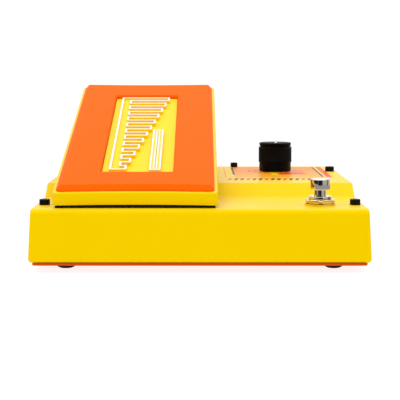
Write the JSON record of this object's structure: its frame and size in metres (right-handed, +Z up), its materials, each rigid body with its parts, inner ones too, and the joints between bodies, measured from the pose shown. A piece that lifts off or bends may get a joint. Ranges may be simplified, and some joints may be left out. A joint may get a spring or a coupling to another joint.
{
  "type": "volume pedal",
  "caption": "Treadle pedal on a stepped metal case, with a selector knob, a footswitch, rear sockets and a geared sensor under the rocking tray.",
  "frame": {"origin": "centre of the bounding box at floor level, under the four feet", "axes": "+X to the right seen from the front, +Y from the front wall to the rear wall, +Z up"},
  "size_m": [0.1728, 0.2018, 0.0923],
  "materials": {
    "yellow_paint": "satin powder coat",
    "orange_paint": "satin powder coat",
    "orange_rubber": "smooth moulded, satin",
    "badge_yellow": "glossy",
    "white_enamel": "glossy print",
    "black_rubber": "matt moulded",
    "black_oxide_steel": "black oxide, semi-gloss",
    "black_plastic": "semi-gloss moulded",
    "bright_chrome": "polished",
    "plated_steel": "zinc plated",
    "brass": "turned",
    "white_nylon": "moulded nylon",
    "jack_plastic": "moulded",
    "board_green": "solder mask"
  },
  "bodies": {
    "base": {"top_housing": "yellow_paint", "side_walls": "yellow_paint", "bottom_plate": "orange_paint", "rubber_feet": "black_rubber", "corner_pillars": "plated_steel", "housing_cap_screws": "black_oxide_steel", "bottom_plate_screws": "black_oxide_steel", "rear_pillar": "plated_steel", "rear_cap_screw": "black_oxide_steel", "heel_stop_pad": "black_rubber", "toe_stop_pads": "black_rubber", "sensor_body": "plated_steel", "sensor_nut": "plated_steel", "sensor_bracket": "plated_steel", "sensor_bracket_screws": "plated_steel", "pivot_base_plate": "plated_steel", "pivot_lugs": "plated_steel", "pivot_bushes": "brass", "bracket_screws": "plated_steel", "bracket_nuts": "plated_steel", "footswitch_body": "bright_chrome", "footswitch_washer": "bright_chrome", "footswitch_nut": "bright_chrome", "footswitch_spring": "plated_steel", "footswitch_terminals": "brass", "selector_body": "black_plastic", "selector_washer": "plated_steel", "selector_nut": "plated_steel", "input_jack": "jack_plastic", "output_jack": "jack_plastic", "jack_washers": "plated_steel", "jack_nuts": "plated_steel", "power_jack": "black_plastic", "main_circuit_board": "board_green", "board_standoffs": "plated_steel", "board_screws": "plated_steel", "board_components": "black_plastic"},
    "treadle": {"treadle_tray": "yellow_paint", "treadle_pad": "orange_rubber", "badge_plate": "badge_yellow", "badge_emblem": "badge_yellow", "emblem_trim": "white_enamel", "treadle_hinge_frame": "plated_steel", "hinge_frame_screws": "plated_steel", "sector_screws": "plated_steel", "pivot_shaft": "plated_steel", "shaft_clips": "plated_steel", "gear_sector": "white_nylon"},
    "sensor_pinion": {"pinion_gear": "white_nylon", "pinion_set_screw": "black_oxide_steel", "sensor_shaft": "plated_steel"},
    "footswitch_plunger": {"footswitch_stem": "bright_chrome", "footswitch_button": "bright_chrome"},
    "selector_knob": {"selector_shaft": "plated_steel", "knob_skirt": "black_plastic", "knob_grip": "black_plastic", "knob_insert": "brass", "knob_set_screw": "black_oxide_steel", "knob_cap": "black_plastic", "knob_pointer": "white_enamel"}
  },
  "joints": [
    {"name": "treadle_rock", "type": "hinge", "parent": "base", "child": "treadle", "pos_m": [-0.0326, -0.00046, 0.05396], "axis": [-1, 0, 0], "range_deg": [0, 24.5]},
    {"name": "sensor_turn", "type": "hinge", "parent": "base", "child": "sensor_pinion", "pos_m": [-0.0326, -0.00046, 0.01996], "axis": [-1, 0, 0], "range_deg": [-115.33, 1]},
    {"name": "selector_turn", "type": "hinge", "parent": "base", "child": "selector_knob", "pos_m": [0.0465, 0.05508, 0.0397], "axis": [0, 0, 1], "continuous": true},
    {"name": "footswitch_press", "type": "slide", "parent": "base", "child": "footswitch_plunger", "axis": [0, 0, -1], "range_m": [0, 0.0022], "stiffness_N_per_m": 3000, "springref_m": -0.002, "deforming": ["footswitch_spring"]}
  ],
  "couplings": [
    {"joint": "sensor_turn", "follows": "treadle_rock", "ratio": -4.6667}
  ]
}
